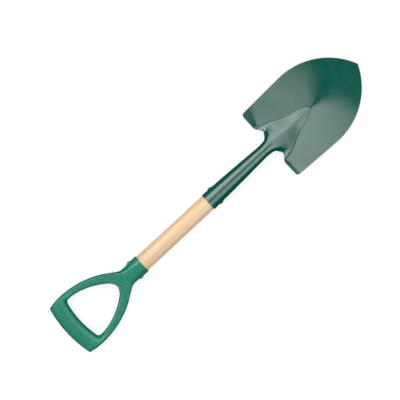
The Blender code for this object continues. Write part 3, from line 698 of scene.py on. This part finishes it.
def make_grip():
    """Half of the moulding, lofted round the opening from the bar to the collar, then mirrored."""
    inner, outer, side, arch = grip_sections()
    inside = np.vstack([inner[0]] + [line[1:] for line in inner[1:]])
    outside = np.vstack([outer[0]] + [line[1:] for line in outer[1:]])
    opening = np.vstack([inner[0], inner[1][1:], arch[1:]])
    opening = np.vstack([opening * (-1, 1), opening])
    spread = (1 - np.cos(np.linspace(0, math.pi, GRIP_COLUMNS + 1))) / 2
    top, bottom = [], []
    for start, end in zip(inside, outside):
        points = start + spread[:, None] * (end - start)
        depth = grip_half_depth(points, side, opening)
        depth[0] = 0
        top.append([(x, y, z) for (x, y), z in zip(points, depth)])
        bottom.append([(x, y, max(-z, ground_height(y))) for (x, y), z in zip(points, depth)])
    bm = bmesh.new()
    grid(bm, top)
    grid(bm, bottom)
    grid(bm, [[row[-1] for row in top], [row[-1] for row in bottom]])
    bmesh.ops.remove_doubles(bm, verts=bm.verts, dist=MERGE)
    bmesh.ops.dissolve_degenerate(bm, edges=bm.edges, dist=MERGE)
    bmesh.ops.recalc_face_normals(bm, faces=bm.faces)
    obj = add_mesh("d_grip_moulding", bm)
    mirror(obj)
    bore_profile = [
        (0, COLLAR_MOUTH_Y + BORE_REACH),
        (TENON_RADIUS + GAP, COLLAR_MOUTH_Y + BORE_REACH),
        (TENON_RADIUS + GAP, COLLAR_MOUTH_Y + GAP),
        (TENON_END_RADIUS + GAP, SHAFT_START_Y - GAP),
        (0, SHAFT_START_Y - GAP),
    ]
    bore = turned("bore_cutter", bore_profile, SHAFT_STEPS, ALONG_SHAFT)
    cut(obj, bore)
    drill(obj, GRIP_RIVET_Y)
    bake(obj)
    bpy.data.objects.remove(bore)
    obj.data.set_sharp_from_angle(angle=GRIP_SHARP)
    return obj


# Rivets


def across_tool(distance):
    return Matrix.Translation((0, distance, 0)) @ Matrix.Rotation(math.pi / 2, 4, "Y")


def drill(obj, distance):
    """Cuts a rivet's hole right through the object."""
    radius = RIVET_SHANK_RADIUS + GAP
    profile = [(0, HOLE_REACH), (radius, HOLE_REACH), (radius, -HOLE_REACH), (0, -HOLE_REACH)]
    tool = turned("hole_cutter", profile, RIVET_STEPS, across_tool(distance))
    cut(obj, tool)
    bake(obj)
    bpy.data.objects.remove(tool)


def make_rivet(name, distance, seat, head):
    """A shank with a domed head at each end, the heads' flat sides at the seat distance."""
    radius, height = head
    dome = [
        (radius * math.sin(angle), seat + height * math.cos(angle))
        for angle in np.linspace(0, math.pi / 2, RIVET_DOME_POINTS)
    ]
    upper = dome + [(RIVET_SHANK_RADIUS, seat)]
    profile = upper + [(across, -along) for across, along in reversed(upper)]
    obj = turned(name, profile, RIVET_STEPS, across_tool(distance))
    obj.data.set_sharp_from_angle(angle=RIVET_SHARP)
    return obj


# Materials


def add_node(tree, kind, inputs=None, **settings):
    """A shader node with its settings, and with its inputs linked or set."""
    made = tree.nodes.new("ShaderNode" + kind)
    for name, value in settings.items():
        setattr(made, name, value)
    for socket, value in (inputs or {}).items():
        if isinstance(value, bpy.types.NodeSocket):
            tree.links.new(value, made.inputs[socket])
        else:
            made.inputs[socket].default_value = value
    return made


def new_material(name):
    material = bpy.data.materials.new(name)
    material.use_nodes = True
    return material.node_tree, material


def math_node(tree, operation, first, second=0.0, third=0.0):
    inputs = {0: first, 1: second, 2: third}
    return add_node(tree, "Math", inputs, operation=operation).outputs[0]


def noise(tree, vector, scale, detail=2.0, roughness=0.5):
    inputs = {"Vector": vector, "Scale": scale, "Detail": detail, "Roughness": roughness}
    return add_node(tree, "TexNoise", inputs).outputs["Fac"]


def own_place(tree):
    """The piece's own coordinates, in metres."""
    return add_node(tree, "TexCoord").outputs["Object"]


def stretched(tree, scale):
    """The piece's own coordinates, stretched along the tool."""
    return add_node(tree, "Mapping", {"Vector": own_place(tree), "Scale": scale}).outputs["Vector"]


def map_range(tree, value, source, target, **settings):
    """The value, moved from the source range to the target range and held inside it."""
    ranges = {"From Min": source[0], "From Max": source[1], "To Min": target[0], "To Max": target[1]}
    return add_node(tree, "MapRange", {"Value": value, **ranges}, **settings).outputs["Result"]


NOISE_RANGE = (0.3, 0.7)  # where nearly all of a noise texture's values lie


def spread_to(tree, value, low, high, source=NOISE_RANGE):
    return map_range(tree, value, source, (low, high))


def ramp(tree, value, colours, source=NOISE_RANGE):
    """A colour between two others, as the value moves through the source range."""
    made = add_node(tree, "ValToRGB", {"Fac": value})
    for element, position, colour in zip(made.color_ramp.elements, source, colours):
        element.position = position
        element.color = (*colour, 1)
    return made.outputs["Color"]


def mixed(tree, share, first, second):
    """A blend of two colours, which this node takes in its sockets 6 and 7 and gives out at 2."""
    made = add_node(tree, "Mix", {0: share, 6: first, 7: second}, data_type="RGBA")
    return made.outputs[2]


def bump(tree, height, distance, strength, normal=None):
    made = add_node(tree, "Bump", {"Height": height, "Distance": distance, "Strength": strength})
    if normal:
        tree.links.new(normal, made.inputs["Normal"])
    return made.outputs["Normal"]


def finish_shader(tree, links, values):
    shader = tree.nodes["Principled BSDF"]
    for socket, value in links.items():
        tree.links.new(value, shader.inputs[socket])
    for socket, value in values.items():
        shader.inputs[socket].default_value = value


# Colours in linear light. Tones are the two ends of a slow change of colour over the surface.
ENAMEL_TONES = ((0.0, 0.08, 0.055), (0.0005, 0.094, 0.065))
ENAMEL_THIN = (0.03, 0.075, 0.055, 1)
WOOD_TONES = ((0.76, 0.525, 0.307), (0.64, 0.405, 0.212))
WOOD_STREAK = (0.82, 0.61, 0.4, 1)
WOOD_PORE = (0.55, 0.33, 0.17, 1)
PLASTIC_TONES = ((0.004, 0.181, 0.115), (0.008, 0.203, 0.132))
STEEL_TONES = ((0.2, 0.2, 0.215), (0.34, 0.335, 0.34))

# The enamel thins out over the sheet's outermost millimetre, along a ragged line
THIN_START = 0.2 * MM
THIN_END = 1.4 * MM
THIN_RAGGED = 0.6 * MM

# Heights of the fine relief
PEEL_DEPTH = 0.06 * MM
SAG_DEPTH = 0.3 * MM
PORE_DEPTH = 0.08 * MM
GRAIN_DEPTH = 0.05 * MM
STEEL_DEPTH = 0.1 * MM

WOOD_HEART = (0.052, 0.0, 0.031)  # how far the tree's heart lies from the shaft


def green_enamel():
    """Dipped enamel: slightly uneven tone, faint orange peel, and duller paint along the sheet's edges."""
    tree, material = new_material("green_enamel")
    place = own_place(tree)
    tone = ramp(tree, noise(tree, place, 14, 4), ENAMEL_TONES)
    edge = add_node(tree, "Attribute", attribute_name="edge_distance").outputs["Fac"]
    shift = spread_to(tree, noise(tree, place, 260), -THIN_RAGGED, THIN_RAGGED)
    ragged = math_node(tree, "ADD", edge, shift)
    thin = spread_to(tree, ragged, 0.35, 0.0, (THIN_START, THIN_END))
    colour = mixed(tree, thin, tone, ENAMEL_THIN)
    roughness = spread_to(tree, noise(tree, place, 70, 3), 0.08, 0.13)
    peel = bump(tree, noise(tree, place, 420, 1), PEEL_DEPTH, 0.5)
    sag = bump(tree, noise(tree, place, 55, 2), SAG_DEPTH, 0.25, peel)
    finish_shader(
        tree,
        {"Base Color": colour, "Roughness": roughness, "Normal": sag},
        {"Metallic": 0.0, "IOR": 1.5},
    )
    return material


def pale_wood():
    """Sanded hardwood under thin lacquer, with its grain along the shaft."""
    tree, material = new_material("pale_wood")
    rings_place = stretched(tree, (1.0, 0.05, 1.0))
    moved = add_node(tree, "Mapping", {"Vector": rings_place, "Location": WOOD_HEART}).outputs["Vector"]
    rings = add_node(
        tree,
        "TexWave",
        {"Vector": moved, "Scale": 70, "Distortion": 2.4, "Detail": 3, "Detail Scale": 1.4},
        wave_type="RINGS",
        rings_direction="Y",
    ).outputs["Fac"]
    streaks = noise(tree, stretched(tree, (210, 5, 210)), 1, 4, 0.6)
    pores = noise(tree, stretched(tree, (2600, 90, 2600)), 1, 2, 0.6)
    base = ramp(tree, rings, WOOD_TONES, (0.15, 0.95))
    streaked = mixed(tree, spread_to(tree, streaks, 0.0, 0.65), base, WOOD_STREAK)
    flecked = mixed(tree, spread_to(tree, pores, 0.0, 0.35, (0.55, 0.75)), streaked, WOOD_PORE)
    roughness = spread_to(tree, streaks, 0.42, 0.55)
    relief = bump(tree, pores, PORE_DEPTH, 0.6)
    finish_shader(
        tree,
        {"Base Color": flecked, "Roughness": roughness, "Normal": relief},
        {"IOR": 1.45, "Coat Weight": 0.15, "Coat Roughness": 0.3},
    )
    return material


def green_plastic():
    """Satin moulded plastic: a fine spark-eroded texture and faint flow marks along the moulding."""
    tree, material = new_material("green_plastic")
    place = own_place(tree)
    flow = noise(tree, stretched(tree, (40, 12, 40)), 1, 3)
    tone = ramp(tree, flow, PLASTIC_TONES)
    grain = noise(tree, place, 1500, 2)
    roughness = spread_to(tree, noise(tree, place, 120, 3), 0.24, 0.32)
    relief = bump(tree, grain, GRAIN_DEPTH, 0.6)
    finish_shader(
        tree,
        {"Base Color": tone, "Roughness": roughness, "Normal": relief},
        {"IOR": 1.5, "Specular IOR Level": 0.25},
    )
    return material


def plain_steel():
    """Bare rivet steel, dulled and lightly marked by the setting tool."""
    tree, material = new_material("plain_steel")
    place = own_place(tree)
    tone = ramp(tree, noise(tree, place, 500, 3), STEEL_TONES)
    roughness = spread_to(tree, noise(tree, place, 900, 3), 0.3, 0.5)
    relief = bump(tree, noise(tree, place, 700, 2), STEEL_DEPTH, 0.5)
    finish_shader(
        tree,
        {"Base Color": tone, "Roughness": roughness, "Normal": relief},
        {"Metallic": 1.0},
    )
    return material


# Studio


FLOOR_SIZE = 20
FLOOR_TONE = 0.3
FLOOR_GLOW = 0.72


def add_floor(height):
    """A plain white floor under the tool, which gloss doesn't see."""
    bm = bmesh.new()
    bmesh.ops.create_grid(bm, x_segments=1, y_segments=1, size=FLOOR_SIZE)
    mesh = bpy.data.meshes.new("floor")
    bm.to_mesh(mesh)
    bm.free()
    floor = bpy.data.objects.new("floor", mesh)
    floor.location.z = height
    bpy.context.scene.collection.objects.link(floor)
    tree, material = new_material("white_floor")
    finish_shader(
        tree,
        {},
        {
            "Base Color": (FLOOR_TONE, FLOOR_TONE, FLOOR_TONE, 1),
            "Roughness": 0.9,
            "Emission Color": (1, 1, 1, 1),
            "Emission Strength": FLOOR_GLOW,
        },
    )
    mesh.materials.append(material)
    floor.visible_glossy = False
    floor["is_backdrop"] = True


def window(tree, value, start, end, soft):
    """1 where the value lies between start and end, fading over soft at both sides."""
    rise = map_range(tree, value, (start - soft, start + soft), (0, 1), interpolation_type="SMOOTHSTEP")
    fall = map_range(tree, value, (end - soft, end + soft), (1, 0), interpolation_type="SMOOTHSTEP")
    return math_node(tree, "MULTIPLY", rise, fall)


OPEN_END = 2.0  # past any sine, for a window without an end on that side

# How the two long softboxes look from the tool. Sines are of the angle from the vertical, across the tool.
# A box grows brighter from "start" outwards, up to "full", and ends at "end". Along the tool it ends at
# "rear" in the middle, and further forward by "slant" for each unit of its sine, as far as the sine where
# that slanted end stops. "dimming" is the share of brightness lost towards the tip.
LEFT_BOX = {
    "start": 0.015,
    "gain": 11.4,
    "power": 0.62,
    "full": 8.7,
    "end": 0.9,
    "rear": -0.55,
    "slant": 0.0,
    "dimming": 0.1,
}
RIGHT_BOX = {
    "start": 0.04,
    "gain": 16.8,
    "power": 1.05,
    "full": 7.4,
    "end": 0.87,
    "rear": -0.37,
    "slant": 1.3,
    "dimming": 0.35,
}
BOX_END_SOFT = 0.11
BOX_REAR_SOFT = 0.12
BOX_SLANT_END = 0.32
BOX_REAR_SPILL = 0.2  # share of brightness left beyond the rear end
BOX_REAR_GLOW = 1.7  # how much brighter the rear half is
BOX_GLOW_RANGE = (-0.3, 0.1)  # that glow fades out between these two
BOX_DIMMING_START = 0.42
BOX_DIMMING_SOFT = 0.16

# A third box hangs over the blade's tip
TOP_START = 0.4
TOP_START_SOFT = 0.12
TOP_HALF_WIDTH = 0.3
TOP_SIDE_SOFT = 0.2
TOP_STRENGTH = 4.0

# Gloss sees nothing below this height
HORIZON = 0.02

# Light on matt surfaces: a broad glow from above and slightly to the left, and a fill from all round
KEY_ACROSS = -0.12
KEY_UP = 0.985
KEY_FOCUS = 3.0
KEY_STRENGTH = 3.0
FILL_STRENGTH = 0.2


def softbox(tree, sine, y, box):
    """Brightness of one softbox, where the sine is towards that box."""
    grown = math_node(tree, "MAXIMUM", math_node(tree, "SUBTRACT", sine, box["start"]), 0.0)
    grown = math_node(tree, "MULTIPLY", math_node(tree, "POWER", grown, box["power"]), box["gain"])
    grown = math_node(tree, "MINIMUM", grown, box["full"])
    across = window(tree, sine, -OPEN_END, box["end"], BOX_END_SOFT)
    slanted = math_node(tree, "MINIMUM", sine, BOX_SLANT_END)
    turned_y = math_node(tree, "MULTIPLY_ADD", slanted, -box["slant"], y)
    along = window(tree, turned_y, box["rear"], OPEN_END, BOX_REAR_SOFT)
    along = math_node(tree, "MULTIPLY_ADD", along, 1.0 - BOX_REAR_SPILL, BOX_REAR_SPILL)
    along = math_node(tree, "MULTIPLY", along, map_range(tree, y, BOX_GLOW_RANGE, (BOX_REAR_GLOW, 1.0)))
    ahead = window(tree, y, BOX_DIMMING_START, OPEN_END, BOX_DIMMING_SOFT)
    lit = math_node(tree, "MULTIPLY", along, math_node(tree, "MULTIPLY_ADD", ahead, -box["dimming"], 1.0))
    return math_node(tree, "MULTIPLY", math_node(tree, "MULTIPLY", grown, across), lit)


def add_world():
    """A white studio: softboxes that only gloss sees, and soft light from above."""
    world = bpy.data.worlds.new("studio")
    bpy.context.scene.world = world
    world.use_nodes = True
    tree = world.node_tree
    tree.nodes.clear()
    direction = add_node(tree, "TexCoord").outputs["Generated"]
    parts = add_node(tree, "SeparateXYZ", {"Vector": direction})
    x, y, z = (parts.outputs[axis] for axis in "XYZ")
    reach = math_node(tree, "MULTIPLY_ADD", x, x, math_node(tree, "MULTIPLY", z, z))
    reach = math_node(tree, "SQRT", reach)
    sine = math_node(tree, "DIVIDE", x, math_node(tree, "MAXIMUM", reach, 0.001))
    left = softbox(tree, math_node(tree, "MULTIPLY", sine, -1.0), y, LEFT_BOX)
    right = softbox(tree, sine, y, RIGHT_BOX)
    top = window(tree, y, TOP_START, OPEN_END, TOP_START_SOFT)
    across = window(tree, sine, -TOP_HALF_WIDTH, TOP_HALF_WIDTH, TOP_SIDE_SOFT)
    top = math_node(tree, "MULTIPLY", top, across)
    top = math_node(tree, "MULTIPLY", top, TOP_STRENGTH)
    gloss = math_node(tree, "ADD", math_node(tree, "ADD", left, right), top)
    gloss = math_node(tree, "MULTIPLY", gloss, window(tree, z, HORIZON, OPEN_END, HORIZON))
    gloss = add_node(tree, "Background", {"Strength": gloss})
    key = math_node(tree, "MULTIPLY_ADD", x, KEY_ACROSS, math_node(tree, "MULTIPLY", z, KEY_UP))
    key = math_node(tree, "POWER", math_node(tree, "MAXIMUM", key, 0.0), KEY_FOCUS)
    key = math_node(tree, "MULTIPLY_ADD", key, KEY_STRENGTH, FILL_STRENGTH)
    soft = add_node(tree, "Background", {"Strength": key})
    white = add_node(tree, "Background", {"Strength": 1.0})
    path = add_node(tree, "LightPath").outputs
    lit = {0: path["Is Glossy Ray"], 1: soft.outputs[0], 2: gloss.outputs[0]}
    lit = add_node(tree, "MixShader", lit)
    shown = {0: path["Is Camera Ray"], 1: lit.outputs[0], 2: white.outputs[0]}
    shown = add_node(tree, "MixShader", shown)
    add_node(tree, "OutputWorld", {"Surface": shown.outputs[0]})


# The camera looks straight down. The first two values are shares of the model's longest side.
FRAME_WIDTH = 1.0082
FRAME_MIDDLE = (-0.0182, -0.0265)
TOOL_HEADING = math.radians(42.82)  # from the picture's horizontal, blade up and to the right
LENS = 150.0
SENSOR_WIDTH = 36.0
CLIP_END = 100


def add_camera():
    low, high = CAD_BOX
    length = (high - low).y
    data = bpy.data.cameras.new("camera")
    data.lens = LENS
    data.sensor_width = SENSOR_WIDTH
    data.clip_end = CLIP_END
    camera = bpy.data.objects.new("camera", data)
    bpy.context.scene.collection.objects.link(camera)
    axis_height = middle("shaft").z
    distance = FRAME_WIDTH * length * LENS / SENSOR_WIDTH
    centre = (low + high) / 2
    camera.location = (
        centre.x + FRAME_MIDDLE[0] * length,
        centre.y + FRAME_MIDDLE[1] * length,
        axis_height + distance,
    )
    camera.rotation_euler = (0, 0, math.pi / 2 - TOOL_HEADING)
    bpy.context.scene.camera = camera


def place(piece, node, slot, material):
    """The piece stands for its CAD node, moves with the tool and takes this finish."""
    piece.data.transform(TOOL.to_3x3().to_4x4())
    piece.matrix_world = Matrix.Translation(TOOL.translation)
    piece.data.materials.clear()
    piece.data.materials.append(material)
    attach(piece, "root")
    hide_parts(node)


def main():
    enamel = green_enamel()
    place(make_blade_head(), "blade_head", "green_enamel", enamel)
    place(make_shaft(), "shaft", "pale_wood", pale_wood())
    place(make_grip(), "d_grip", "green_plastic", green_plastic())
    socket_seat = float(socket_radius(SOCKET_RIVET_Y)) + GAP / 2
    socket_rivet = make_rivet("socket_rivet_set", SOCKET_RIVET_Y, socket_seat, SOCKET_RIVET_HEAD)
    place(socket_rivet, "socket_rivet", "green_enamel", enamel)
    collar_seat = COLLAR_RIVET_RADIUS + GAP / 2
    grip_rivet = make_rivet("grip_rivet_set", GRIP_RIVET_Y, collar_seat, GRIP_RIVET_HEAD)
    place(grip_rivet, "grip_rivet", "plain_steel", plain_steel())
    add_floor(CAD_BOX[0].z)
    add_world()
    add_camera()
    bpy.context.scene.view_settings.view_transform = "Standard"


main()

boxes = {"cad": CAD_BOX, "visual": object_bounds()}
{name: [list(corner) for corner in box] for name, box in boxes.items()}
